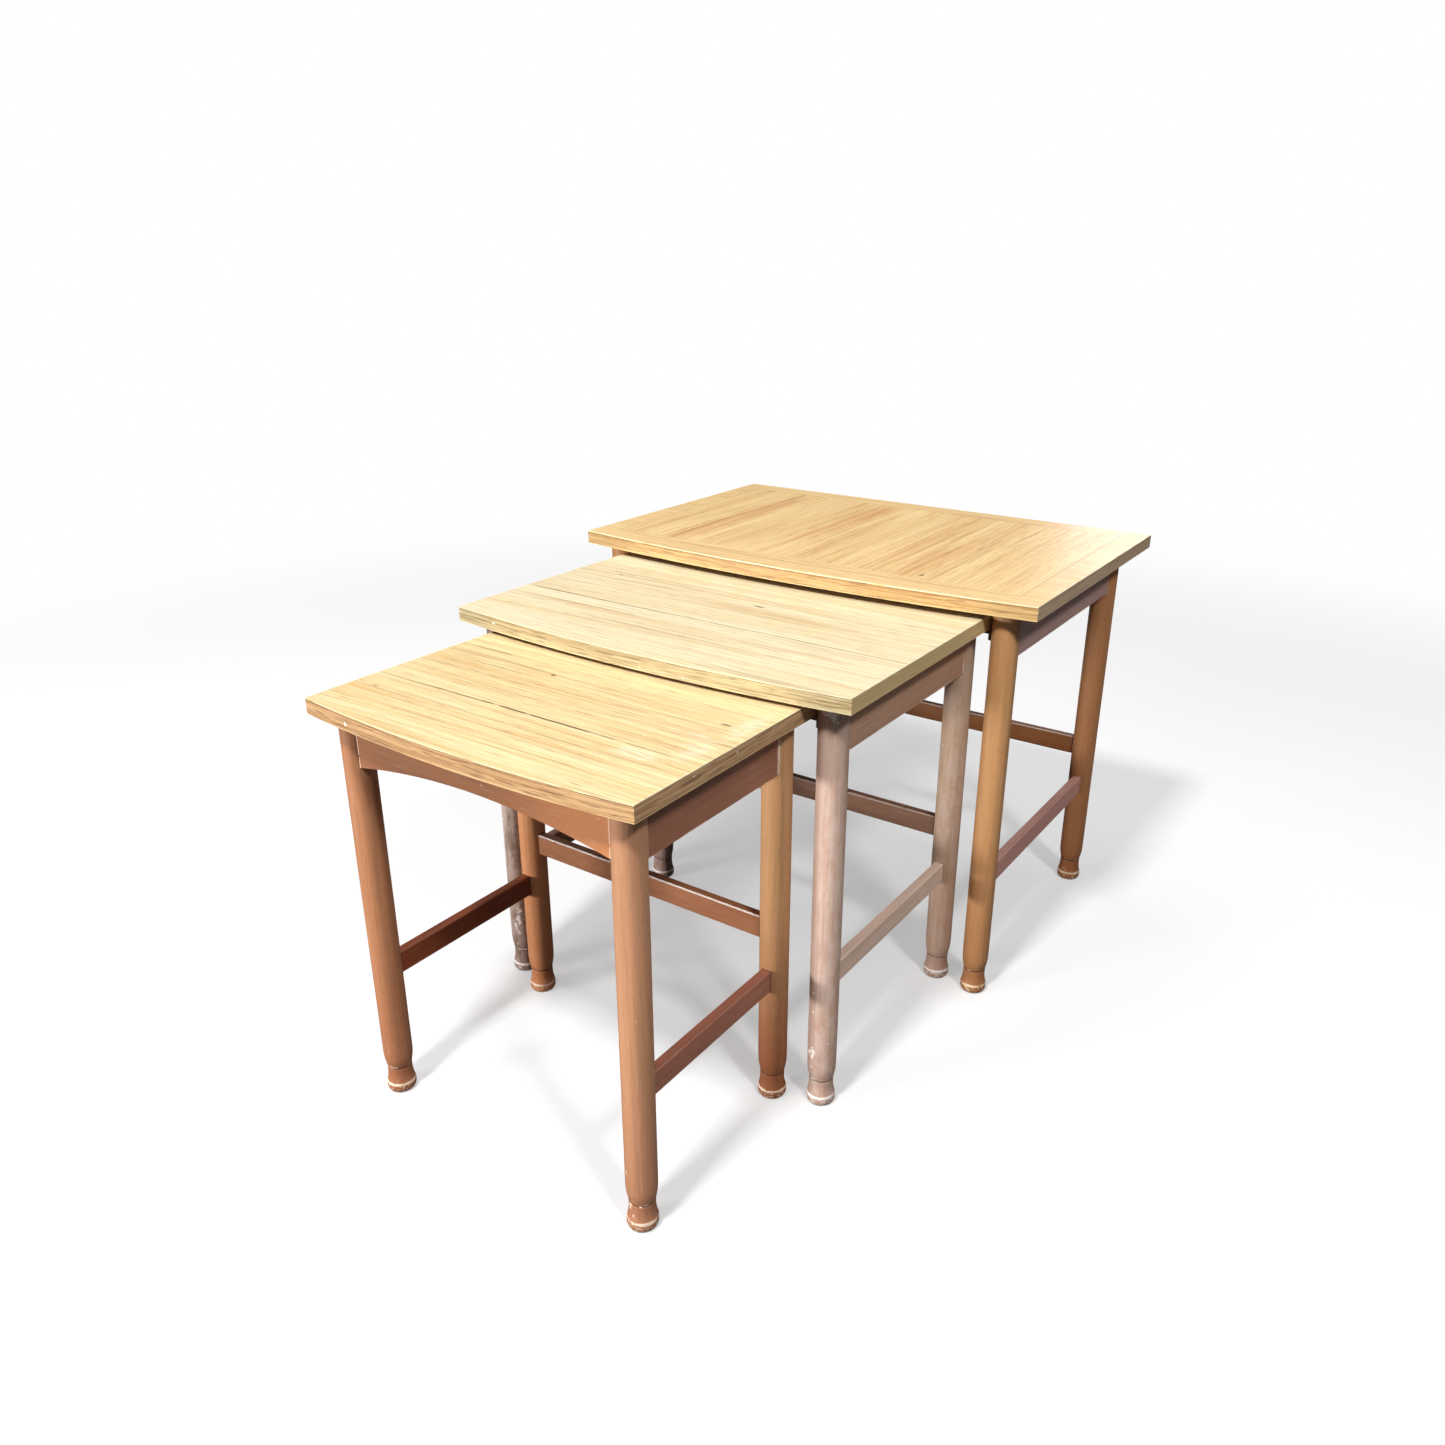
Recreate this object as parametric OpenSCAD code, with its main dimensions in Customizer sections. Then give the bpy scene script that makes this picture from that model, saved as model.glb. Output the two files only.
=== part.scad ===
// Nest of three tables: large, medium and small, each on four turned legs.
// Each smaller table slides front to back under the next one, its top running
// above the lips of two guide rails. Frame: +X to the right seen from the front,
// +Y to the back, +Z up, origin on the floor under the middle of the drawn-out nest.
// Millimetres.

/* [Large table] */
// width of the top
l_w = 606; // [540:1:680]
// depth of the top at its corners
l_d = 386; // [340:1:440]
// height of the top face
l_h = 490; // [440:1:540]
// leg axis in from the side edge
l_side = 40.5; // [35:0.5:50]
// leg axis in from the front corner line
l_front = 22; // [18:1:40]
// leg axis in from the back edge
l_back = 35; // [20:1:50]

/* [Medium table] */
// width of the top
m_w = 490; // [430:1:560]
// depth of the top at its corners
m_d = 334; // [290:1:380]
// height of the top face
m_h = 467; // [420:1:515]
// leg axis in from the side edge
m_side = 32.5; // [28:0.5:45]
// leg axis in from the front corner line
m_front = 28; // [18:1:40]
// leg axis in from the back edge
m_back = 28; // [20:1:45]
// front corner line, forward of the large table's
m_out = 281; // [0:1:400]

/* [Small table] */
// width of the top
s_w = 390; // [330:1:450]
// depth of the top at its corners
s_d = 274; // [240:1:320]
// height of the top face
s_h = 447; // [400:1:490]
// leg axis in from the side edge
s_side = 30; // [25:0.5:40]
// leg axis in from the front corner line
s_front = 28; // [18:1:40]
// leg axis in from the back edge
s_back = 28; // [20:1:45]
// front corner line, forward of the medium table's
s_out = 238.5; // [0:0.5:340]

/* [Tops] */
// whole thickness of a top
top_t = 16; // [14:1:22]
// thickness of the face sheet
face_t = 1; // [0.6:0.1:1.5]
// thickness of the edge band
band_t = 1; // [0.6:0.1:2]
// rise of the bowed front edge as a share of the width
bow_ratio = 0.0307; // [0:0.0001:0.05]
// width of the border round the large table's centre panel
border_w = 31; // [20:1:60]

/* [Legs] */
// leg diameter
leg_d = 30; // [24:1:36]
// how far a tenon or stretcher end stops short of the leg axis
tenon_stop = 7; // [6:0.5:9]

/* [Aprons] */
// apron depth
apron_h = 54; // [40:1:70]
// apron outer face, outward of the leg axes
apron_out = 9; // [6:0.5:12]
// apron inner face, inward of the leg axes
apron_in = 7; // [5:0.5:10]
// tenon thickness
tenon_t = 8; // [6:0.5:10]
// rise of the arch under the small table's front apron
arch_rise = 18; // [5:1:25]

/* [Stretchers] */
// stretcher thickness
rail_t = 11; // [8:0.5:16]
// stretcher depth
rail_h = 25; // [18:1:34]
// edge rounding
rail_r = 2; // [1:0.25:4]
// underside of the side stretchers
side_rail_z = 136; // [80:1:220]
// underside of the back stretchers
back_rail_z = 188; // [120:1:280]

/* [Guide rails] */
// web thickness
web_t = 8; // [6:0.5:12]
// reach of the lip from the apron
lip_reach = 21; // [16:0.5:26]
// lip thickness
lip_t = 6; // [4:0.5:9]
// width of the foot below the lip
foot_w = 13; // [9:0.5:16]
// depth of the foot below the lip
foot_h = 7; // [4:0.5:12]
// gap between a lip and the top that slides above it
lip_gap = 1; // [0.5:0.25:3]

/* [Fixings] */
// dowel diameter
dowel_d = 8; // [6:1:10]
// dowel length
dowel_l = 20; // [14:1:24]
// top screw shank diameter
screw_d = 4; // [3:0.5:5]
// depth of a top screw in the board
screw_grip = 11; // [8:1:13]
// apron wood above a top screw's head
screw_seat = 25; // [18:1:35]

/* [Hidden] */
$fn = 96;
leg_r = leg_d / 2;
neck_r = 12.6;
eps = 0.5;
W = 0;
D = 1;
H = 2;
SIDE = 3;
FRONT = 4;
BACK = 5;
Y = 6;
s_bow = s_w * bow_ratio;
l_y = (m_out + s_out + s_bow - l_d) / 2;
m_y = l_y - m_out;
s_y = m_y - s_out;
LARGE = [l_w, l_d, l_h, l_side, l_front, l_back, l_y];
MEDIUM = [m_w, m_d, m_h, m_side, m_front, m_back, m_y];
SMALL = [s_w, s_d, s_h, s_side, s_front, s_back, s_y];
core_t = top_t - face_t;
tenon_z = 7;
tenon_h = 38;
apron_mid = (apron_out - apron_in) / 2;
rail_screw_drop = 12;
rail_screw_l = 18;
rail_screw_r = 1.8;
rail_head_r = 3.6;
top_head_r = 3.8;
top_head_h = 2.5;
bore_r = 4.5;
wood_leg = [0.66, 0.42, 0.27];
wood_core = [0.72, 0.62, 0.47];
wood_face_l = [0.85, 0.62, 0.38];
wood_face_m = [0.93, 0.85, 0.66];
wood_face_s = [0.93, 0.80, 0.50];
wood_rail = [0.35, 0.23, 0.17];
steel = [0.62, 0.62, 0.62];

function leg_x(t) = t[W] / 2 - t[SIDE];
function front_y(t) = t[Y] + t[FRONT];
function back_y(t) = t[Y] + t[D] - t[BACK];
function under_z(t) = t[H] - top_t;
function bow_rise(t) = t[W] * bow_ratio;
function bow_r(t) = (pow(t[W] / 2, 2) + pow(bow_rise(t), 2)) / (2 * bow_rise(t));
function side_screws_y(t) = [front_y(t) + 75, back_y(t) - 75];
function cross_screws_x(t) = [-t[W] * 0.27, t[W] * 0.27];
function rail_screws_y(t) = [front_y(t) + 40, (front_y(t) + back_y(t)) / 2, back_y(t) - 45];

// Half section of a turned leg: rounded pad, raised rim, cove, neck with a
// fine groove, rounded shoulder, then the plain shaft.
function leg_section(h) = [
    [0, 0], [12.2, 0], [13.5, 0.8], [14.4, 2.2], [14.9, 4], [15, 6], [14.95, 9.4],
    [14.65, 11], [14.1, 12.2], [13.6, 14.3], [13.15, 16.8], [12.8, 19.8], [neck_r, 23.5],
    [neck_r, 29.2], [12.3, 29.6], [12.3, 30.4], [12.75, 30.9], [13.05, 32.6], [13.5, 35],
    [14.1, 38], [14.55, 41], [14.85, 45], [leg_r, 50], [leg_r, h], [0, h]
];

// ---- tops -------------------------------------------------------------------

// Plan of a top: straight sides and back, bowed front, moved in all round by i.
module top_plan(t, i) {
    rise = bow_rise(t);
    intersection() {
        translate([-t[W] / 2 + i, t[Y] - rise - 1])
            square([t[W] - 2 * i, t[D] + rise + 1 - i]);
        translate([0, t[Y] - rise + bow_r(t)])
            circle(r = bow_r(t) - i, $fn = 720);
    }
}

module top_board(t, aprons) {
    difference() {
        translate([0, 0, under_z(t)])
            linear_extrude(height = core_t)
                top_plan(t, band_t);
        dowels(t);
        for (p = screw_spots(t, aprons))
            translate([p[0], p[1], under_z(t) - 1])
                cylinder(d = screw_d, h = screw_grip + 1);
    }
}

module edge_band(t) {
    translate([0, 0, under_z(t)])
        linear_extrude(height = core_t)
            difference() {
                top_plan(t, 0);
                top_plan(t, band_t);
            }
}

module face_sheet(t) {
    translate([0, 0, t[H] - face_t])
        linear_extrude(height = face_t)
            top_plan(t, 0);
}

module panel_plan(t) {
    translate([-t[W] / 2 + border_w, t[Y] + border_w])
        square([t[W] - 2 * border_w, t[D] - 2 * border_w]);
}

// ---- legs -------------------------------------------------------------------

module leg_blank(t, side, y) {
    translate([side * leg_x(t), y, 0])
        rotate_extrude()
            polygon(leg_section(under_z(t)));
}

module leg_core(t, side, y) {
    translate([side * leg_x(t), y, -eps])
        cylinder(r = leg_r, h = t[H]);
}

module leg(t, side, y, has_cross) {
    difference() {
        leg_blank(t, side, y);
        side_tenons(t, side);
        side_stretcher(t, side);
        if (has_cross)
            cross_tenons(t, y);
        if (y > t[Y] + t[D] / 2)
            back_stretcher(t);
        dowels(t);
    }
}

// ---- aprons -----------------------------------------------------------------

module side_tenons(t, side) {
    z = under_z(t) - tenon_z - tenon_h;
    l = leg_r - tenon_stop + 1;
    for (y = [front_y(t) + tenon_stop, back_y(t) - tenon_stop - l])
        translate([side * leg_x(t) - tenon_t / 2, y, z])
            cube([tenon_t, l, tenon_h]);
}

module cross_tenons(t, y) {
    z = under_z(t) - tenon_z - tenon_h;
    l = leg_r - tenon_stop + 1;
    for (x = [-leg_x(t) + tenon_stop, leg_x(t) - tenon_stop - l])
        translate([x, y - tenon_t / 2, z])
            cube([l, tenon_t, tenon_h]);
}

// A screw hole up through an apron, with a wide bore for the head.
module screw_bore(t, p) {
    translate([p[0], p[1], under_z(t) - apron_h - 1]) {
        cylinder(d = screw_d + 0.5, h = apron_h + 2);
        cylinder(r = bore_r, h = apron_h + 1 - screw_seat);
    }
}

module side_apron(t, side, has_rail) {
    x = side > 0 ? leg_x(t) - apron_in : -leg_x(t) - apron_out;
    difference() {
        translate([x, front_y(t), under_z(t) - apron_h])
            cube([apron_in + apron_out, back_y(t) - front_y(t), apron_h]);
        leg_core(t, side, front_y(t));
        leg_core(t, side, back_y(t));
        for (y = side_screws_y(t))
            screw_bore(t, [side * (leg_x(t) + apron_mid), y]);
        if (has_rail)
            rail_screws(t);
    }
    side_tenons(t, side);
}

// dir is +1 for the back apron and -1 for the front one.
module cross_apron(t, y, dir) {
    y0 = dir > 0 ? y - apron_in : y - apron_out;
    difference() {
        translate([-leg_x(t), y0, under_z(t) - apron_h])
            cube([2 * leg_x(t), apron_in + apron_out, apron_h]);
        leg_core(t, -1, y);
        leg_core(t, 1, y);
        for (x = cross_screws_x(t))
            screw_bore(t, [x, y + dir * apron_mid]);
    }
    cross_tenons(t, y);
}

// ---- stretchers ---------------------------------------------------------------

module stretcher_section() {
    w = rail_t / 2 - rail_r;
    h = rail_h / 2 - rail_r;
    square([rail_t, rail_h - 2 * rail_r], center = true);
    square([rail_t - 2 * rail_r, rail_h], center = true);
    for (x = [-w, w])
        for (y = [-h, h])
            translate([x, y])
                circle(r = rail_r);
}

module side_stretcher(t, side) {
    translate([side * leg_x(t), back_y(t) - tenon_stop, side_rail_z + rail_h / 2])
        rotate([90, 0, 0])
            linear_extrude(height = back_y(t) - front_y(t) - 2 * tenon_stop)
                stretcher_section();
}

module back_stretcher(t) {
    translate([-leg_x(t) + tenon_stop, back_y(t), back_rail_z + rail_h / 2])
        rotate([90, 0, 90])
            linear_extrude(height = 2 * leg_x(t) - 2 * tenon_stop)
                stretcher_section();
}

// ---- guide rails --------------------------------------------------------------

// Section of the right-hand rail, x out from its apron's inner face (inward is
// negative), z up from the lip's upper face; h is the web height above the lip.
function rail_section(h) = [
    [0, -lip_t - foot_h], [0, h], [-web_t, h], [-web_t, 0], [-lip_reach, 0],
    [-lip_reach, -lip_t], [-foot_w, -lip_t], [-foot_w, -lip_t - foot_h]
];

module guide_rail(t, inner, side) {
    z = under_z(inner) - lip_gap;
    y0 = front_y(t) + 2;
    y1 = back_y(t) - apron_in;
    difference() {
        mirror([side < 0 ? 1 : 0, 0, 0])
            translate([leg_x(t) - apron_in, y1, z])
                rotate([90, 0, 0])
                    linear_extrude(height = y1 - y0)
                        polygon(rail_section(under_z(t) - z));
        leg_core(t, side, front_y(t));
        leg_core(t, side, back_y(t));
        rail_screws(t);
    }
}

// ---- fixings ------------------------------------------------------------------

module dowels(t) {
    for (x = [-leg_x(t), leg_x(t)])
        for (y = [front_y(t), back_y(t)])
            translate([x, y, under_z(t) - dowel_l / 2])
                cylinder(d = dowel_d, h = dowel_l);
}

function screw_spots(t, aprons) = concat(
    [for (s = [-1, 1]) for (y = side_screws_y(t)) [s * (leg_x(t) + apron_mid), y]],
    [for (x = cross_screws_x(t)) [x, back_y(t) + apron_mid]],
    aprons > 3 ? [for (x = cross_screws_x(t)) [x, front_y(t) - apron_mid]] : []
);

module top_screws(t, aprons) {
    z = under_z(t) - screw_seat;
    for (p = screw_spots(t, aprons))
        translate([p[0], p[1], z - top_head_h]) {
            cylinder(r = top_head_r, h = top_head_h);
            cylinder(d = screw_d, h = top_head_h + screw_seat + screw_grip);
        }
}

module rail_screws(t) {
    for (s = [-1, 1])
        for (y = rail_screws_y(t))
            translate([s * (leg_x(t) - apron_in - web_t), y, under_z(t) - rail_screw_drop])
                rotate([0, s * 90, 0]) {
                    cylinder(r1 = rail_head_r, r2 = rail_screw_r, h = 2.4);
                    cylinder(r = rail_screw_r, h = rail_screw_l);
                }
}

// ---- large table --------------------------------------------------------------

module large_top_board() { color(wood_core) top_board(LARGE, 3); }
module large_edge_band() { color(wood_face_l) edge_band(LARGE); }

module large_top_panel() {
    color(wood_face_l)
        translate([0, 0, l_h - face_t])
            linear_extrude(height = face_t)
                panel_plan(LARGE);
}

module large_top_border() {
    color(wood_face_l)
        translate([0, 0, l_h - face_t])
            linear_extrude(height = face_t)
                difference() {
                    top_plan(LARGE, 0);
                    panel_plan(LARGE);
                }
}

module large_leg_front_left() { color(wood_leg) leg(LARGE, -1, front_y(LARGE), false); }
module large_leg_front_right() { color(wood_leg) leg(LARGE, 1, front_y(LARGE), false); }
module large_leg_back_left() { color(wood_leg) leg(LARGE, -1, back_y(LARGE), true); }
module large_leg_back_right() { color(wood_leg) leg(LARGE, 1, back_y(LARGE), true); }
module large_apron_left() { color(wood_leg) side_apron(LARGE, -1, true); }
module large_apron_right() { color(wood_leg) side_apron(LARGE, 1, true); }
module large_apron_back() { color(wood_leg) cross_apron(LARGE, back_y(LARGE), 1); }
module large_stretcher_left() { color(wood_leg) side_stretcher(LARGE, -1); }
module large_stretcher_right() { color(wood_leg) side_stretcher(LARGE, 1); }
module large_stretcher_back() { color(wood_leg) back_stretcher(LARGE); }
module large_rail_left() { color(wood_rail) guide_rail(LARGE, MEDIUM, -1); }
module large_rail_right() { color(wood_rail) guide_rail(LARGE, MEDIUM, 1); }
module large_rail_screws() { color(steel) rail_screws(LARGE); }
module large_dowels() { color(wood_core) dowels(LARGE); }
module large_top_screws() { color(steel) top_screws(LARGE, 3); }

// ---- medium table -------------------------------------------------------------

module medium_top_board() { color(wood_core) top_board(MEDIUM, 3); }
module medium_top_face() { color(wood_face_m) face_sheet(MEDIUM); }
module medium_edge_band() { color(wood_face_m) edge_band(MEDIUM); }
module medium_leg_front_left() { color(wood_leg) leg(MEDIUM, -1, front_y(MEDIUM), false); }
module medium_leg_front_right() { color(wood_leg) leg(MEDIUM, 1, front_y(MEDIUM), false); }
module medium_leg_back_left() { color(wood_leg) leg(MEDIUM, -1, back_y(MEDIUM), true); }
module medium_leg_back_right() { color(wood_leg) leg(MEDIUM, 1, back_y(MEDIUM), true); }
module medium_apron_left() { color(wood_leg) side_apron(MEDIUM, -1, true); }
module medium_apron_right() { color(wood_leg) side_apron(MEDIUM, 1, true); }
module medium_apron_back() { color(wood_leg) cross_apron(MEDIUM, back_y(MEDIUM), 1); }
module medium_stretcher_left() { color(wood_leg) side_stretcher(MEDIUM, -1); }
module medium_stretcher_right() { color(wood_leg) side_stretcher(MEDIUM, 1); }
module medium_stretcher_back() { color(wood_leg) back_stretcher(MEDIUM); }
module medium_rail_left() { color(wood_rail) guide_rail(MEDIUM, SMALL, -1); }
module medium_rail_right() { color(wood_rail) guide_rail(MEDIUM, SMALL, 1); }
module medium_rail_screws() { color(steel) rail_screws(MEDIUM); }
module medium_dowels() { color(wood_core) dowels(MEDIUM); }
module medium_top_screws() { color(steel) top_screws(MEDIUM, 3); }

// ---- small table --------------------------------------------------------------

module small_top_board() { color(wood_core) top_board(SMALL, 4); }
module small_top_face() { color(wood_face_s) face_sheet(SMALL); }
module small_edge_band() { color(wood_face_s) edge_band(SMALL); }
module small_leg_front_left() { color(wood_leg) leg(SMALL, -1, front_y(SMALL), true); }
module small_leg_front_right() { color(wood_leg) leg(SMALL, 1, front_y(SMALL), true); }
module small_leg_back_left() { color(wood_leg) leg(SMALL, -1, back_y(SMALL), true); }
module small_leg_back_right() { color(wood_leg) leg(SMALL, 1, back_y(SMALL), true); }
module small_apron_left() { color(wood_leg) side_apron(SMALL, -1, false); }
module small_apron_right() { color(wood_leg) side_apron(SMALL, 1, false); }
module small_apron_back() { color(wood_leg) cross_apron(SMALL, back_y(SMALL), 1); }

// The front apron's lower edge rises in a shallow arch between the legs.
module small_apron_front() {
    half = leg_x(SMALL);
    arch_r = (half * half + arch_rise * arch_rise) / (2 * arch_rise);
    color(wood_leg)
        difference() {
            cross_apron(SMALL, front_y(SMALL), -1);
            translate([0, front_y(SMALL) + 20, under_z(SMALL) - apron_h + arch_rise - arch_r])
                rotate([90, 0, 0])
                    cylinder(r = arch_r, h = 40, $fn = 720);
        }
}

module small_stretcher_left() { color(wood_leg) side_stretcher(SMALL, -1); }
module small_stretcher_right() { color(wood_leg) side_stretcher(SMALL, 1); }
module small_stretcher_back() { color(wood_leg) back_stretcher(SMALL); }
module small_dowels() { color(wood_core) dowels(SMALL); }
module small_top_screws() { color(steel) top_screws(SMALL, 4); }

large_top_board();
large_edge_band();
large_top_panel();
large_top_border();
large_leg_front_left();
large_leg_front_right();
large_leg_back_left();
large_leg_back_right();
large_apron_left();
large_apron_right();
large_apron_back();
large_stretcher_left();
large_stretcher_right();
large_stretcher_back();
large_rail_left();
large_rail_right();
large_rail_screws();
large_dowels();
large_top_screws();
medium_top_board();
medium_top_face();
medium_edge_band();
medium_leg_front_left();
medium_leg_front_right();
medium_leg_back_left();
medium_leg_back_right();
medium_apron_left();
medium_apron_right();
medium_apron_back();
medium_stretcher_left();
medium_stretcher_right();
medium_stretcher_back();
medium_rail_left();
medium_rail_right();
medium_rail_screws();
medium_dowels();
medium_top_screws();
small_top_board();
small_top_face();
small_edge_band();
small_leg_front_left();
small_leg_front_right();
small_leg_back_left();
small_leg_back_right();
small_apron_left();
small_apron_right();
small_apron_back();
small_apron_front();
small_stretcher_left();
small_stretcher_right();
small_stretcher_back();
small_dowels();
small_top_screws();
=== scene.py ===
import math
import random

import bpy
from mathutils import Matrix, Vector
from mathutils import noise as field


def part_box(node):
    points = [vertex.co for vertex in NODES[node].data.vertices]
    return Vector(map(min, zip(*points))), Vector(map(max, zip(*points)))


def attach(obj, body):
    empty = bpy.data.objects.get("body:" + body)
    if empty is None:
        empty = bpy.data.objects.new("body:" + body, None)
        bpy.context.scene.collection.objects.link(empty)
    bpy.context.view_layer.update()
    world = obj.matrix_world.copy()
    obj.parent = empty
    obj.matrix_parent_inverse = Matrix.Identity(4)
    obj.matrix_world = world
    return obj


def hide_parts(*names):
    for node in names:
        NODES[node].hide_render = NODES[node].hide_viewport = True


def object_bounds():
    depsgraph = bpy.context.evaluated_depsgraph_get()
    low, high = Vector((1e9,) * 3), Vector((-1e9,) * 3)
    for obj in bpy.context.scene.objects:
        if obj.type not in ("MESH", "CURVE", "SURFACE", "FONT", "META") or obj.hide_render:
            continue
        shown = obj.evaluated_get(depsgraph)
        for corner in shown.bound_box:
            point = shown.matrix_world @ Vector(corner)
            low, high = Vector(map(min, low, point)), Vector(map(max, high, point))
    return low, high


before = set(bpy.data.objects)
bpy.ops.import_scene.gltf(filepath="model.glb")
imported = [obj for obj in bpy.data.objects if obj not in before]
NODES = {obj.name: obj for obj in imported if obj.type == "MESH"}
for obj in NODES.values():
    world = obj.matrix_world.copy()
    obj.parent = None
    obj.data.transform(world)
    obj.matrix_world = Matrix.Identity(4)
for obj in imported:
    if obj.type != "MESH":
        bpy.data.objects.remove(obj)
cad_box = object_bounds()
TABLES = ("large", "medium", "small")


# ---- measures taken from the CAD, in metres ----------------------------------

BOW_RATIO = 0.0307      # rise of a top's bowed front edge, as a share of its width


def plan(table):
    """The sizes of one table that the looks need."""
    lo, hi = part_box(f"{table}_edge_band")
    face = "large_top_border" if table == "large" else f"{table}_top_face"
    width = hi.x - lo.x
    rise = width * BOW_RATIO
    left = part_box(f"{table}_leg_front_left")
    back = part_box(f"{table}_leg_back_right")
    front_leg = (left[0] + left[1]) / 2
    back_leg = (back[0] + back[1]) / 2
    return {
        "half": width / 2,
        "top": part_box(face)[1].z,
        "under": lo.z,
        "chord": lo.y + rise,
        "back": hi.y,
        "rise": rise,
        "leg_x": back_leg.x,
        "front_y": front_leg.y,
        "back_y": back_leg.y,
        "leg_r": (left[1].x - left[0].x) / 2,
    }


P = {table: plan(table) for table in TABLES}
APRON_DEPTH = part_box("large_apron_left")[1].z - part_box("large_apron_left")[0].z
PANEL_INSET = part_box("large_top_panel")[0].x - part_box("large_edge_band")[0].x


# ---- a small language for node trees -------------------------------------------

class Val:
    """A number or colour flowing through a node tree."""

    def __init__(self, net, sock):
        self.net, self.sock = net, sock

    def __add__(self, o):
        return self.net.math("ADD", self, o)

    def __radd__(self, o):
        return self.net.math("ADD", o, self)

    def __sub__(self, o):
        return self.net.math("SUBTRACT", self, o)

    def __rsub__(self, o):
        return self.net.math("SUBTRACT", o, self)

    def __mul__(self, o):
        return self.net.math("MULTIPLY", self, o)

    def __truediv__(self, o):
        return self.net.math("DIVIDE", self, o)

    def __abs__(self):
        return self.net.math("ABSOLUTE", self)

    def sqrt(self):
        return self.net.math("SQRT", self)


class Net:
    """A material under construction."""

    def __init__(self, name):
        self.mat = bpy.data.materials.new(name)
        self.mat.use_nodes = True
        self.tree = self.mat.node_tree
        self.tree.nodes.clear()
        coord = self.tree.nodes.new("ShaderNodeTexCoord")
        self.x, self.y, self.z = self.split(coord.outputs["Object"])
        self.nx, _, self.nz = self.split(coord.outputs["Normal"])

    def feed(self, socket, value):
        if isinstance(value, Val):
            self.tree.links.new(value.sock, socket)
        else:
            socket.default_value = value

    def node(self, kind, inputs=(), **props):
        n = self.tree.nodes.new(kind)
        for key, value in props.items():
            setattr(n, key, value)
        for key, value in dict(inputs).items():
            self.feed(n.inputs[key], value)
        return n

    def split(self, vector):
        n = self.tree.nodes.new("ShaderNodeSeparateXYZ")
        self.tree.links.new(vector, n.inputs[0])
        return [Val(self, n.outputs[i]) for i in range(3)]

    def vector(self, x, y, z):
        return Val(self, self.node("ShaderNodeCombineXYZ", {0: x, 1: y, 2: z}).outputs[0])

    def math(self, op, a, b=0.0):
        """a and b are numbers or flowing values."""
        return Val(self, self.node("ShaderNodeMath", {0: a, 1: b}, operation=op).outputs[0])

    def low(self, a, b):
        return self.math("MINIMUM", a, b)

    def high(self, a, b):
        return self.math("MAXIMUM", a, b)

    def step(self, value, start, end):
        """Smooth 0 to 1 as value goes from start to end."""
        n = self.node("ShaderNodeMapRange",
                      {"Value": value, "From Min": start, "From Max": end},
                      interpolation_type="SMOOTHSTEP")
        return Val(self, n.outputs["Result"])

    def noise(self, x, y, z, detail=2.0, rough=0.5):
        n = self.node("ShaderNodeTexNoise",
                      {"Vector": self.vector(x, y, z), "Scale": 1.0, "Detail": detail,
                       "Roughness": rough})
        return Val(self, n.outputs["Fac"])

    def cells(self, x, y, z):
        """Distance to, and a random number of, the nearest point of a scatter."""
        n = self.node("ShaderNodeTexVoronoi", {"Vector": self.vector(x, y, z), "Scale": 1.0})
        return Val(self, n.outputs["Distance"]), self.split(n.outputs["Color"])[0]

    def attribute(self, name):
        return Val(self, self.node("ShaderNodeAttribute", attribute_name=name).outputs["Fac"])

    def mix(self, share, a, b):
        n = self.node("ShaderNodeMix", {0: share, 6: a, 7: b}, data_type="RGBA")
        return Val(self, n.outputs[2])

    def finish(self, colour, rough, height, depth, specular=0.5, metallic=0.0):
        """The shader, with a relief of this height field and depth in metres."""
        bump = self.node("ShaderNodeBump", {"Strength": 1.0, "Distance": depth,
                                            "Height": height})
        shader = self.node("ShaderNodeBsdfPrincipled",
                           {"Base Color": colour, "Roughness": rough, "Metallic": metallic,
                            "Specular IOR Level": specular, "Normal": Val(self, bump.outputs[0])})
        out = self.node("ShaderNodeOutputMaterial")
        self.tree.links.new(shader.outputs[0], out.inputs[0])
        return self.mat


def rgb(r, g, b):
    """An sRGB colour, 0 to 255, as the linear colour that Blender wants."""
    def lin(c):
        c /= 255
        return c / 12.92 if c <= 0.04045 else ((c + 0.055) / 1.055) ** 2.4
    return (lin(r), lin(g), lin(b), 1.0)


# ---- laminate of the tops -----------------------------------------------------

ARRIS = (0.0011, 0.0005)        # where a face's pale outer arris starts and is full, from the edge
SEAM = (0.0011, 0.0004)         # the same, either side of the joint round the centre panel
LAMINATE_DEPTH = 0.00006        # depth of the printed grain's relief
EDGING_DEPTH = 0.00008
LOWER_RIM = (14.2, 15.6)        # where an edge band's pale lower arris starts, mm below the top
CHIP_RAGGED = 0.0012            # how uneven the outline of a chip is


def spread(n, u, v, spot, wobble=0.0):
    """1 inside an ellipse given as (u, v, half length, half width), 0 outside."""
    u0, v0, ru, rv = spot
    du, dv = (u - u0) / ru, (v - v0) / rv
    reach = (du * du + dv * dv).sqrt()
    if wobble:
        reach = reach + (n.noise(u * 25, v * 90, v0 * 9) - 0.5) * wobble
    return n.step(reach, 1.15, 0.35)


def streak(n, u, v, line):
    """A dark grain line given as (v, u from, u to, half width, strength, bend)."""
    v0, u0, u1, half, strength, bend = line
    wander = (n.noise(u * 7, v0 * 50, 0.3) - 0.5) * bend
    near = n.step(abs(v - v0 - wander), half, half * 0.25)
    fade = (u1 - u0) * 0.18
    span = n.step(u, u0 - fade, u0 + fade) * n.step(u, u1 + fade, u1 - fade)
    broken = n.step(n.noise(u * 45, v * 300, v0 * 31), 0.25, 0.5)
    return near * span * broken * strength


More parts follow.
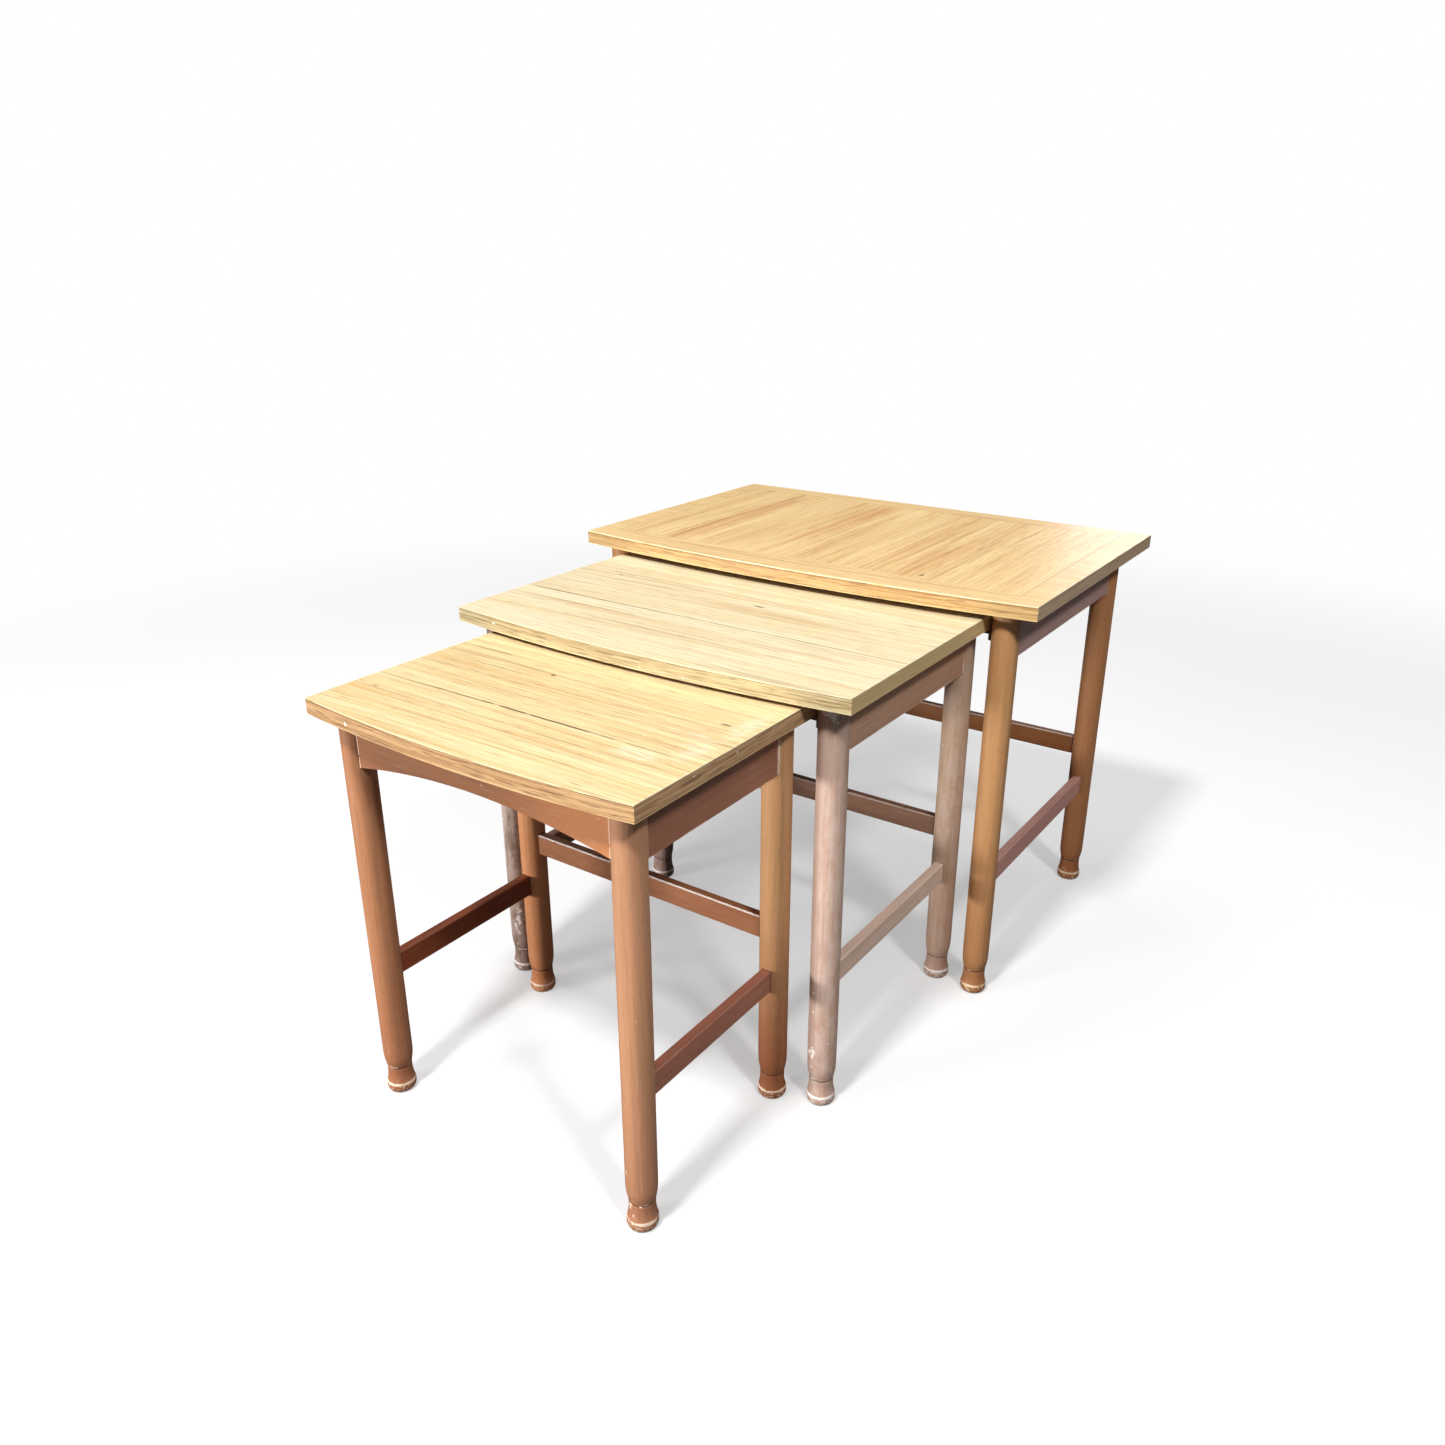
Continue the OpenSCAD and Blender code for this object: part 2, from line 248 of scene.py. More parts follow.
def grain(n, u, v, seed):
    """The layers of a printed or sliced wood figure: bands, streaks, lines, pores."""
    drift = (n.noise(u * 2.2, v * 9, seed) - 0.5) * 0.016
    ripple = (n.noise(u * 14, v * 40, seed + 2) - 0.5) * 0.004
    w = v + drift + ripple
    band = n.noise(u * 2.4, w * 48, seed + 3, detail=4.0, rough=0.65)
    fibre = n.noise(u * 4, w * 320, seed + 7, detail=2.0, rough=0.6)
    line = n.step(n.noise(u * 3.5, w * 380, seed + 11, detail=2.0, rough=0.6), 0.57, 0.65)
    pore = n.step(n.noise(u * 34, w * 700, seed + 17, detail=1.0), 0.58, 0.66)
    return band, fibre, line, pore


def inset(n, table):
    """How far in a point of a top is from the top's outline, in metres."""
    p = P[table]
    radius = (p["half"] ** 2 + p["rise"] ** 2) / (2 * p["rise"])
    dy = n.y - (p["chord"] - p["rise"] + radius)
    front = radius - (n.x * n.x + dy * dy).sqrt()
    return n.low(front, n.low(p["half"] - abs(n.x), p["back"] - n.y))


def laminate(name, table, tones, seed, along_x, lines=(), patches=(), knots=(), worn_and_highlight=(),
             seam=None):
    """A top's face: grain, then its own marks, then its pale outer arris."""
    n = Net(name)
    p = P[table]
    y = n.y - p["chord"]
    u, v = (n.x, y) if along_x else (y, n.x)
    band, fibre, line, pore = grain(n, u, v, seed)
    pale, mid, deep, dark = tones["pale"], tones["mid"], tones["deep"], tones["dark"]
    colour = n.mix(n.step(band, 0.36, 0.66), pale, mid)
    for spot in patches:
        mask = spread(n, u, v, spot[:4], 0.9) * spot[4] * n.step(fibre, 0.25, 0.62)
        colour = n.mix(mask, colour, deep)
    colour = n.mix(n.step(fibre, 0.46, 0.58) * tones["fibre"], colour, deep)
    colour = n.mix(line * tones["line"] * n.step(band, 0.30, 0.60), colour, dark)
    colour = n.mix(pore * tones["pore"], colour, dark)
    marks = 0.0
    for item in lines:
        marks = n.high(marks, streak(n, u, v, item))
    for spot in knots:
        marks = n.high(marks, spread(n, u, v, spot[:4], 0.5) * spot[4])
    if lines or knots:
        colour = n.mix(marks, colour, tones["mark"])
    rub = 0.0
    for spot in worn_and_highlight:
        rub = n.high(rub, spread(n, n.x, y, spot[:4], 0.9) * spot[4])
    if worn_and_highlight:
        scuff = rub * n.step(n.noise(n.x * 60, y * 420, 4.0, detail=2.0), 0.38, 0.62)
        colour = n.mix(scuff, colour, tones["rub"])
    edge = inset(n, table)
    arris = n.step(edge, *ARRIS) * n.step(n.noise(n.x * 40, y * 40, 7.0), 0.30, 0.50)
    colour = n.mix(arris * tones["arris"][1], colour, tones["arris"][0])
    if seam:
        near = n.step(abs(edge - seam), *SEAM)
        colour = n.mix(near * 0.5, colour, dark)
    smear = n.noise(n.x * 9, y * 9, seed + 40, detail=3.0)
    rough = tones["rough"] + (smear - 0.5) * 0.16 + line * 0.08 + pore * 0.08
    height = fibre * 0.25 - line * 0.3 - pore * 0.45
    return n.finish(colour, rough, height, LAMINATE_DEPTH)


def edging(name, table, tones, seed):
    """Edge band: short horizontal grain dashes, dark seam under the face, pale lower arris."""
    n = Net(name)
    p = P[table]
    u = n.x + n.y
    depth = (p["top"] - n.z) * 1000
    band = n.noise(u * 4, n.z * 130, seed, detail=3.0)
    fibre = n.noise(u * 7, n.z * 560, seed + 5, detail=2.0, rough=0.6)
    dash = n.step(n.noise(u * 34, n.z * 760, seed + 9, detail=1.0), 0.56, 0.63)
    colour = n.mix(n.step(band, 0.35, 0.65), tones["pale"], tones["mid"])
    colour = n.mix(n.step(fibre, 0.45, 0.58) * 0.65, colour, tones["deep"])
    colour = n.mix(dash * tones["dash"], colour, tones["dark"])
    upper = n.step(abs(depth - tones["seam"][0]), tones["seam"][1], 0.15)
    upper = upper * n.step(n.noise(u * 30, 0.0, seed), 0.30, 0.48) * tones["seam"][2]
    colour = n.mix(upper, colour, tones["dark"])
    lower = n.step(depth, *LOWER_RIM) * n.step(n.noise(u * 24, 3.0, seed), 0.30, 0.55)
    colour = n.mix(lower * 0.65, colour, tones["rim"])
    far, pick = n.cells(n.x * 70, n.y * 70, n.z * 110)
    nick = n.step(far, 0.17, 0.09) * n.step(pick, 0.955, 0.965)
    for spot in tones["chips"]:
        gap = ((n.x - spot[0]) * (n.x - spot[0]) + (n.y - spot[1]) * (n.y - spot[1])
               + (n.z - spot[2]) * (n.z - spot[2])).sqrt()
        ragged = gap + (n.noise(n.x * 700, n.y * 700, n.z * 700) - 0.5) * CHIP_RAGGED
        nick = n.high(nick, n.step(ragged, spot[3], spot[3] * 0.55))
    colour = n.mix(nick, colour, tones["chip"])
    # Painted light: the band's side faces are mixed towards a lighter colour, standing in for
    # light falling on the table's sides.
    painted_side_light = n.step(abs(n.nx), 0.5, 0.9) * tones["painted_side_light"][1]
    colour = n.mix(painted_side_light, colour, tones["painted_side_light"][0])
    rough = 0.42 + dash * 0.12 + nick * 0.3
    return n.finish(colour, rough, fibre * 0.3 - dash * 0.5 - nick, EDGING_DEPTH, 0.4)


# ---- solid timber ----------------------------------------------------------------

PAINTED_HIGHLIGHT = rgb(255, 246, 240)      # painted highlight along a stretcher's top arris
TIMBER_DEPTH = 0.00010          # depth of the grain, pores and wear
HAZE_TOP = (0.28, 0.44)         # heights between which a leg's haze fades
SHADE_TOP = (0.34, 0.45)        # heights between which a hazy leg darkens
FOOT_TINT = (0.26, 0.02)        # heights between which a leg reddens towards its foot
FOOT_TINT_LOW = (0.040, 0.030)
GROOVE_Z = 0.030                # the groove in a leg's neck
GROOVE = (0.0011, 0.0005)       # half the groove's width, from faint to full
PAD_GRIT = (0.0115, 0.0085)     # heights between which floor dirt and wear set in
PAINTED_LIGHT_RIGHT = (0.0, 0.13)            # from the middle, where a cross apron is painted lighter to the right: painted light where the top shades it less
PAINTED_SHADE_NX = (0.15, -0.5)        # from which x of its normal a leg's left side gets painted shade
HEM = (0.0014, 0.0004)          # rubbed lower edge of an apron, from faint to full
JOINT_LINE = 0.0012             # width of the pale line where an apron meets a front leg
JOINT_LINE_BACK = 0.0012        # how much wider it is at a back leg
SOCKET_LINE = (0.0018, 0.0004)  # dark line where a stretcher enters a leg


def scaled(colour, factor):
    """The colour, lighter or darker by this factor."""
    return tuple(min(1.0, c * factor) for c in colour[:3]) + (1.0,)


def timber(name, axis, colour, finish, seed, table, role):
    """Stained, lacquered hardwood with its grain along axis, and the wear of its role.

    role is "leg", "apron", "rail" (a stretcher) or None for a guide rail.
    """
    n = Net(name)
    pale, deep = scaled(colour, 1.16), scaled(colour, 0.66)
    along = {"x": n.x, "y": n.y, "z": n.z}[axis]
    a, b = {"x": (n.y, n.z), "y": (n.x, n.z), "z": (n.x, n.y)}[axis]
    bend = (n.noise(a * 12, b * 12, along * 5 + seed) - 0.5) * 0.02
    tone = n.noise(a * 26 + seed, b * 26, (along + bend) * 2.5, detail=2.0)
    fibre = n.noise((a + bend) * 240, b * 240 + seed, along * 7, detail=3.0, rough=0.55)
    line = n.step(n.noise((a + bend) * 420, b * 420, along * 5 + seed, detail=1.0), 0.60, 0.70)
    fleck = n.step(n.noise(a * 900, b * 900, along * 90 + seed, detail=1.0), 0.60, 0.70)
    shade = n.mix(n.step(tone, 0.34, 0.68), pale, colour)
    shade = n.mix(n.step(fibre, 0.42, 0.70) * finish["fibre"], shade, deep)
    shade = n.mix(line * finish["fibre"] * 0.8, shade, deep)
    shade = n.mix(fleck * 0.30, shade, deep)
    if role == "leg" and "haze" in finish:
        cloud = n.noise(a * 75, b * 75, along * 38 + seed, detail=5.0, rough=0.7)
        rubbed = n.noise(a * 260, b * 260, along * 9 + seed, detail=3.0, rough=0.6)
        haze = n.step(cloud * 0.62 + rubbed * 0.38, 0.43, 0.57)
        haze = haze * (1 - n.step(n.z, *HAZE_TOP) * 0.6)
        shade = n.mix(n.step(n.z, *SHADE_TOP) * 0.45, shade, deep)
        shade = n.mix(haze * finish["haze"][1], shade, finish["haze"][0])
    wear = 0.0
    p = P[table]
    dx = abs(n.x) - p["leg_x"]
    df, db = n.y - p["front_y"], n.y - p["back_y"]
    gap = n.low((dx * dx + df * df).sqrt(), (dx * dx + db * db).sqrt()) - p["leg_r"]
    if role == "apron":
        wide = n.step(n.y, p["back_y"] - 0.1, p["back_y"] - 0.05) * JOINT_LINE_BACK + JOINT_LINE
        seam = n.step(gap / wide, 1.0, 0.4) * n.step(n.noise(n.z * 190, seed, 1.0), 0.36, 0.46)
        wear = seam * finish["joint"]
        hem_z = p["under"] - APRON_DEPTH
        hem = n.step(n.z, hem_z + HEM[0], hem_z + HEM[1])
        wear = n.high(wear, hem * n.step(n.noise(along * 60, seed, 5.0), 0.46, 0.60) * 0.6)
        if axis == "x":
            # Painted light: a cross apron's right end is painted lighter, standing in for the
            # lesser shade of the bowed top there.
            shade = n.mix(n.step(n.x, *PAINTED_LIGHT_RIGHT) * 0.7, shade, scaled(colour, 2.2))
    if role == "rail":
        # Painted highlight: a near-white line along a stretcher's top arris, strongest on cross
        # stretchers, standing in for light caught there.
        crest = n.step(n.nz, 0.30, 0.62) * n.step(n.nz, 0.99, 0.86)
        worn_and_highlight = finish["crest"] if axis == "x" else finish["crest"] * 0.06
        painted_highlight_mask = crest * n.step(n.noise(along * 30, seed, 2.0), 0.24, 0.42) * worn_and_highlight
        shade = n.mix(painted_highlight_mask, shade, PAINTED_HIGHLIGHT)
        shade = n.mix(n.step(gap, *SOCKET_LINE) * 0.8, shade, finish["gap"])
    if role == "leg":
        wear = n.attribute("wear")
        ragged = n.noise(n.x * 420, n.y * 420, n.z * 420, detail=2.0)
        wear = n.step(wear + (ragged - 0.5) * 0.9, 0.42, 0.72)
        reddish = (colour[0] * 0.52, colour[1] * 0.34, colour[2] * 0.30, 1.0)
        shade = n.mix(n.step(n.z, *FOOT_TINT) * finish["foot"], shade, reddish)
        shade = n.mix(n.step(n.z, *FOOT_TINT_LOW) * finish["foot"] * 0.8, shade, reddish)
        # Painted shade: the leg's left side is darkened, standing in for the shade cast by the
        # small table's top.
        if "painted_left_shade" in finish:
            shade = n.mix(n.step(n.nx, *PAINTED_SHADE_NX) * finish["painted_left_shade"], shade, deep)
        groove = n.step(abs(n.z - GROOVE_Z), *GROOVE)
        shade = n.mix(groove * 0.7, shade, finish["gap"])
        grit = n.step(n.noise(n.x * 330, n.y * 330, n.z * 520 + seed, detail=3.0), 0.52, 0.62)
        wear = n.high(wear, grit * n.step(n.z, *PAD_GRIT) * 0.75)
    far, pick = n.cells(a * 130 + seed, b * 130, along * 90)
    speck = n.step(far, 0.17, 0.08) * n.step(pick, 1 - finish["specks"],
                                             1.005 - finish["specks"])
    scratch = n.step(n.noise(a * 1300, b * 1300, along * 26 + seed * 2, detail=0.0), 0.765, 0.80)
    wear = n.high(wear, n.high(speck, scratch * 0.25))
    shade = n.mix(wear, shade, finish["bare"])
    smear = n.noise(n.x * 22, n.y * 22, n.z * 22 + seed, detail=3.0)
    rough = finish["rough"] + (smear - 0.5) * 0.12 + wear * 0.3
    height = fibre * 0.35 - line * 0.2 - fleck * 0.4 - wear * 0.5
    return n.finish(shade, rough, height, TIMBER_DEPTH)


STUFF_DEPTH = 0.0002            # depth of the grit on raw board, dowels, steel and glue


def plain_stuff(name, first, second, scale, rough, metallic=0.0):
    """Raw board, dowels, screws and old glue."""
    n = Net(name)
    grit = n.noise(n.x * scale, n.y * scale, n.z * scale, detail=4.0, rough=0.7)
    colour = n.mix(n.step(grit, 0.35, 0.65), first, second)
    return n.finish(colour, rough + (grit - 0.5) * 0.2, grit, STUFF_DEPTH, metallic=metallic)


# ---- the looks of each table ---------------------------------------------------

LAMINATE = {
    "large": {
        "pale": rgb(247, 216, 160), "mid": rgb(242, 206, 147), "deep": rgb(214, 158, 102),
        "dark": rgb(140, 94, 58), "mark": rgb(112, 72, 44), "rub": rgb(250, 235, 205),
        "arris": (rgb(255, 244, 205), 0.85), "fibre": 0.34, "line": 0.45, "pore": 0.24,
        "rough": 0.30},
    "medium": {
        "pale": rgb(240, 226, 190), "mid": rgb(235, 215, 172), "deep": rgb(206, 172, 122),
        "dark": rgb(140, 106, 68), "mark": rgb(98, 70, 44), "rub": rgb(250, 244, 226),
        "arris": (rgb(250, 240, 205), 0.5), "fibre": 0.32, "line": 0.45, "pore": 0.28,
        "rough": 0.38},
    "small": {
        "pale": rgb(238, 217, 168), "mid": rgb(234, 206, 152), "deep": rgb(206, 160, 102),
        "dark": rgb(136, 94, 54), "mark": rgb(88, 56, 32), "rub": rgb(252, 244, 224),
        "arris": (rgb(255, 240, 200), 0.6), "fibre": 0.34, "line": 0.48, "pore": 0.30,
        "rough": 0.38},
}
EDGING = {
    "large": {
        "pale": rgb(214, 180, 124), "mid": rgb(202, 164, 106), "deep": rgb(168, 124, 72),
        "dark": rgb(126, 86, 50), "rim": rgb(240, 212, 150), "chip": rgb(250, 240, 215),
        "dash": 0.50, "seam": (2.2, 0.8, 0.75), "painted_side_light": (rgb(255, 236, 222), 0.30), "chips": ()},
    "medium": {
        "pale": rgb(204, 186, 142), "mid": rgb(192, 172, 128), "deep": rgb(154, 128, 84),
        "dark": rgb(120, 94, 58), "rim": rgb(238, 222, 176), "chip": rgb(252, 244, 226),
        "dash": 0.60, "seam": (1.3, 0.8, 0.6), "painted_side_light": (rgb(255, 220, 160), 0.60), "chips": ()},
    "small": {
        "pale": rgb(220, 180, 130), "mid": rgb(209, 166, 114), "deep": rgb(168, 120, 75),
        "dark": rgb(124, 82, 52), "rim": rgb(242, 208, 154), "chip": rgb(255, 250, 242),
        "dash": 0.65, "seam": (1.2, 0.8, 0.75), "painted_side_light": (rgb(255, 205, 180), 0.10), "chips": ()},
}
# How each table's timber is finished and worn: bare is worn wood, gap the dark of a joint,
# foot how red the feet are, crest the strength of a painted highlight along a back stretcher's
# top arris, joint the pale line beside the legs, and haze a bloom in the lacquer, as its colour
# and strength.
FINISH = {
    "large": {"bare": rgb(238, 208, 170), "gap": rgb(60, 38, 28), "foot": 0.45, "crest": 0.5,
              "joint": 0.6, "fibre": 0.30, "specks": 0.010, "rough": 0.40},
    "medium": {"bare": rgb(252, 240, 234), "gap": rgb(62, 44, 38), "foot": 0.35, "crest": 0.4,
               "joint": 0.4, "fibre": 0.30, "specks": 0.030, "rough": 0.50,
               "haze": (rgb(236, 212, 198), 0.50)},
    "small": {"bare": rgb(246, 216, 190), "gap": rgb(58, 34, 26), "foot": 0.32, "crest": 1.0,
              "joint": 0.9, "fibre": 0.35, "specks": 0.022, "rough": 0.38},
}
# The timber's colour, piece by piece: partly each piece's own tone, partly painted light and
# shade, with left pieces set darker and right and shaded pieces set lighter for how light falls on
# them.
WOOD_AND_PAINTED_LIGHT = {
    "large": {
        "leg_front_left": rgb(206, 144, 90), "leg_front_right": rgb(202, 149, 99),
        "leg_back_left": rgb(186, 126, 80), "leg_back_right": rgb(201, 138, 90),
        "apron": rgb(203, 162, 153), "apron_back": rgb(124, 86, 70),
        "stretcher_left": rgb(150, 98, 66), "stretcher_right": rgb(219, 162, 147),
        "stretcher_back": rgb(143, 84, 38), "rail": rgb(94, 60, 44)},
    "medium": {
        "leg_front_left": rgb(152, 126, 110), "leg_front_right": rgb(206, 171, 152),
        "leg_back_left": rgb(180, 148, 130), "leg_back_right": rgb(213, 178, 149),
        "apron": rgb(201, 157, 130), "apron_back": rgb(150, 114, 94),
        "stretcher_left": rgb(160, 120, 98), "stretcher_right": rgb(248, 214, 194),
        "stretcher_back": rgb(140, 100, 76), "rail": rgb(94, 66, 52)},
    "small": {
        "leg_front_left": rgb(194, 133, 94), "leg_front_right": rgb(202, 147, 110),
        "leg_back_left": rgb(228, 156, 106), "leg_back_right": rgb(214, 160, 112),
        "apron": rgb(170, 114, 88), "apron_back": rgb(140, 90, 62),
        "apron_front": rgb(162, 105, 66),
        "stretcher_left": rgb(148, 74, 40), "stretcher_right": rgb(176, 114, 92),
        "stretcher_back": rgb(172, 112, 76)},
}

# Marks on the tops: metres from the middle of the front corner line, grain direction first.
LARGE_PANEL = {
    "patches": [
        (0.19, -0.185, 0.20, 0.022, 0.75), (0.10, -0.190, 0.09, 0.018, 0.5),
        (0.23, -0.050, 0.16, 0.022, 0.75), (0.30, -0.050, 0.06, 0.026, 0.5),
        (0.17, -0.008, 0.15, 0.012, 0.45), (0.21, 0.085, 0.20, 0.014, 0.5),
        (0.25, 0.150, 0.15, 0.018, 0.6), (0.10, 0.130, 0.10, 0.028, 0.6),
        (0.12, -0.115, 0.09, 0.010, 0.35), (0.09, 0.245, 0.07, 0.010, 0.35)],
    "lines": [
        (-0.190, 0.20, 0.35, 0.0012, 0.6, 0.006), (-0.178, 0.18, 0.33, 0.0009, 0.5, 0.006),
        (-0.206, 0.03, 0.14, 0.0013, 0.7, 0.008), (-0.196, 0.04, 0.12, 0.0010, 0.5, 0.008),
        (-0.072, 0.10, 0.32, 0.0013, 0.55, 0.010), (-0.010, 0.03, 0.20, 0.0011, 0.55, 0.006),
        (-0.020, 0.12, 0.22, 0.0010, 0.5, 0.006), (0.017, 0.04, 0.18, 0.0009, 0.35, 0.006),
        (0.110, 0.22, 0.35, 0.0012, 0.5, 0.012), (0.132, 0.14, 0.24, 0.0012, 0.55, 0.012),
        (0.120, 0.03, 0.11, 0.0010, 0.5, 0.006), (0.165, 0.04, 0.20, 0.0010, 0.5, 0.006)],
    "knots": [(0.045, 0.150, 0.006, 0.004, 0.7)],
}
MEDIUM_TOP = {
    "patches": [
        (0.070, 0.163, 0.11, 0.018, 0.70), (-0.090, 0.200, 0.14, 0.012, 0.45),
        (-0.060, 0.165, 0.15, 0.014, 0.40), (0.060, 0.078, 0.20, 0.008, 0.45),
        (-0.110, 0.080, 0.12, 0.007, 0.40), (-0.120, 0.225, 0.12, 0.007, 0.35)],
    "lines": [
        (0.109, -0.25, 0.25, 0.0013, 0.75, 0.004), (0.109, -0.25, -0.04, 0.0018, 0.75, 0.004),
        (0.124, -0.24, 0.10, 0.0009, 0.35, 0.006), (0.094, -0.10, 0.24, 0.0008, 0.35, 0.006),
        (0.190, -0.24, -0.05, 0.0009, 0.30, 0.008), (0.055, -0.18, 0.20, 0.0008, 0.25, 0.006),
        (0.225, 0.08, 0.22, 0.0008, 0.25, 0.006)],
    "knots": [(0.027, 0.185, 0.009, 0.0025, 0.85), (-0.183, 0.202, 0.004, 0.002, 0.7)],
}
SMALL_TOP = {
    "patches": [
        (-0.070, 0.172, 0.045, 0.012, 0.55), (0.080, 0.180, 0.11, 0.009, 0.50),
        (0.000, 0.145, 0.13, 0.010, 0.50), (-0.130, 0.050, 0.11, 0.008, 0.50),
        (0.040, 0.048, 0.12, 0.007, 0.45), (0.130, 0.100, 0.09, 0.008, 0.45),
        (-0.150, 0.150, 0.05, 0.010, 0.50), (0.150, 0.145, 0.05, 0.012, 0.40)],
    "lines": [
        (0.087, -0.19, 0.19, 0.0011, 0.70, 0.004), (0.088, -0.12, 0.10, 0.0016, 0.95, 0.004),
        (0.195, -0.19, -0.11, 0.0012, 0.80, 0.002), (0.162, -0.17, -0.07, 0.0010, 0.60, 0.006),
        (0.139, -0.18, -0.04, 0.0011, 0.65, 0.008), (0.060, -0.15, 0.17, 0.0008, 0.45, 0.004),
        (0.127, -0.10, 0.15, 0.0007, 0.35, 0.006), (0.114, -0.12, 0.18, 0.0007, 0.35, 0.004),
        (0.075, -0.18, 0.19, 0.0007, 0.35, 0.004), (0.150, 0.04, 0.09, 0.0009, 0.50, 0.004)],
    "knots": [(-0.048, 0.175, 0.004, 0.003, 0.85), (0.162, 0.167, 0.007, 0.0025, 0.7),
              (-0.167, 0.058, 0.006, 0.0018, 0.5)],
    "worn_and_highlight": [(0.137, 0.075, 0.030, 0.012, 0.55), (0.180, 0.170, 0.010, 0.05, 0.45),
             (0.172, 0.110, 0.020, 0.03, 0.40), (0.150, 0.135, 0.035, 0.004, 0.40)],
}


def chips_for(table):
    """Larger chips on a table's edge band: x, y, z and radius in metres."""
    p = P[table]
    front = p["chord"] - p["rise"]
    if table == "small":
        return [(-0.131, p["chord"] - 0.0065, p["top"] - 0.0095, 0.0023),
                (p["half"], p["chord"] + 0.136, p["top"] - 0.006, 0.0014),
                (p["half"], p["chord"] + 0.075, p["top"] - 0.005, 0.0011)]
    if table == "medium":
        return [(p["half"], p["chord"] + 0.060, p["top"] - 0.007, 0.0010),
                (0.02, front, p["top"] - 0.012, 0.0010)]
    return [(p["half"], p["chord"] + 0.150, p["top"] - 0.009, 0.0012)]


# ---- dressing the CAD nodes -----------------------------------------------------

def wear_it(node, mat):
    """Gives a CAD node one material on all its slots."""
    mesh = NODES[node].data
    mesh.materials.clear()
    mesh.materials.append(mat)


panel = laminate("laminate_large_panel", "large", LAMINATE["large"], 1.7, False, **LARGE_PANEL)
border = laminate("laminate_large_border", "large", LAMINATE["large"], 5.1, True,
                  seam=PANEL_INSET - 0.0006)
wear_it("large_top_panel", panel)
wear_it("large_top_border", border)
wear_it("medium_top_face",
        laminate("laminate_medium", "medium", LAMINATE["medium"], 9.3, True, **MEDIUM_TOP))
wear_it("small_top_face",
        laminate("laminate_small", "small", LAMINATE["small"], 14.9, True, **SMALL_TOP))

board = plain_stuff("pressed_board", rgb(178, 150, 112), rgb(140, 112, 80), 700, 0.85)
dowel = plain_stuff("dowel_beech", rgb(206, 170, 122), rgb(186, 148, 102), 900, 0.6)
steel = plain_stuff("screw_steel", rgb(176, 176, 178), rgb(140, 140, 142), 500, 0.35, 1.0)

for i, t in enumerate(TABLES):
    seed = 3.1 + 7.7 * i
    finish = FINISH[t]
    EDGING[t]["chips"] = chips_for(t)
    wear_it(f"{t}_edge_band", edging(f"edging_{t}", t, EDGING[t], seed))
    wear_it(f"{t}_top_board", board)
    wear_it(f"{t}_dowels", dowel)
    wear_it(f"{t}_top_screws", steel)
    for part, colour in WOOD_AND_PAINTED_LIGHT[t].items():
        role = {"apron": "apron", "stretcher": "rail"}.get(part.split("_")[0])
        if part.startswith("leg"):
            continue
        axis = "x" if part.endswith(("_back", "_front")) else "y"
        mat = timber(f"{t}_{part}_wood", axis, colour, finish, seed + len(part), t, role)
        sides = ("_left", "_right") if part in ("apron", "rail") else ("",)
        for side in sides:
            wear_it(f"{t}_{part}{side}", mat)
    if "rail" in WOOD_AND_PAINTED_LIGHT[t]:
        wear_it(f"{t}_rail_screws", steel)


# ---- turned legs ------------------------------------------------------------------

# Half section of a leg's foot in millimetres: height, radius.
FOOT = [(0, 12.3), (0.8, 13.5), (2.2, 14.4), (4, 14.9), (6, 15), (9.4, 14.95), (11, 14.65),
        (12.2, 14.1), (14.3, 13.6), (16.8, 13.15), (19.8, 12.8), (23.5, 12.6), (29.2, 12.6),
        (29.5, 12.1), (30.5, 12.1), (30.9, 12.75), (32.6, 13.05), (35, 13.5), (38, 14.1),
        (41, 14.55), (45, 14.85), (50, 15)]
# Rings of vertices up a leg: close together at the foot, then even up the shaft.
RING_STEP, FOOT_RINGS, SHAFT_RINGS = 0.6, 84, 110
LEG_SIDES = 80
DENTS = 14                          # small dents in each leg
RIM_Z, SHOULDER_Z = 10.6, 31.5      # the heights, in millimetres, where a foot is worn most


def leg_radius(z):
    """The radius of a leg at height z, in millimetres."""
    for (z0, r0), (z1, r1) in zip(FOOT, FOOT[1:]):
        if z <= z1:
            return r0 + (r1 - r0) * (z - z0) / (z1 - z0)
    return FOOT[-1][1]


def tube(name, verts, sides):
    """A closed tube over rings of vertices, each ring with this many sides."""
    rings = len(verts) // sides
    faces = [(j * sides + k, j * sides + (k + 1) % sides,
              (j + 1) * sides + (k + 1) % sides, (j + 1) * sides + k)
             for j in range(rings - 1) for k in range(sides)]
    faces.append(tuple(range(sides))[::-1])
    faces.append(tuple((rings - 1) * sides + k for k in range(sides)))
    mesh = bpy.data.meshes.new(name)
    mesh.from_pydata(verts, [], faces)
    mesh.shade_smooth()
    piece = bpy.data.objects.new(name, mesh)
    bpy.context.scene.collection.objects.link(piece)
    return piece


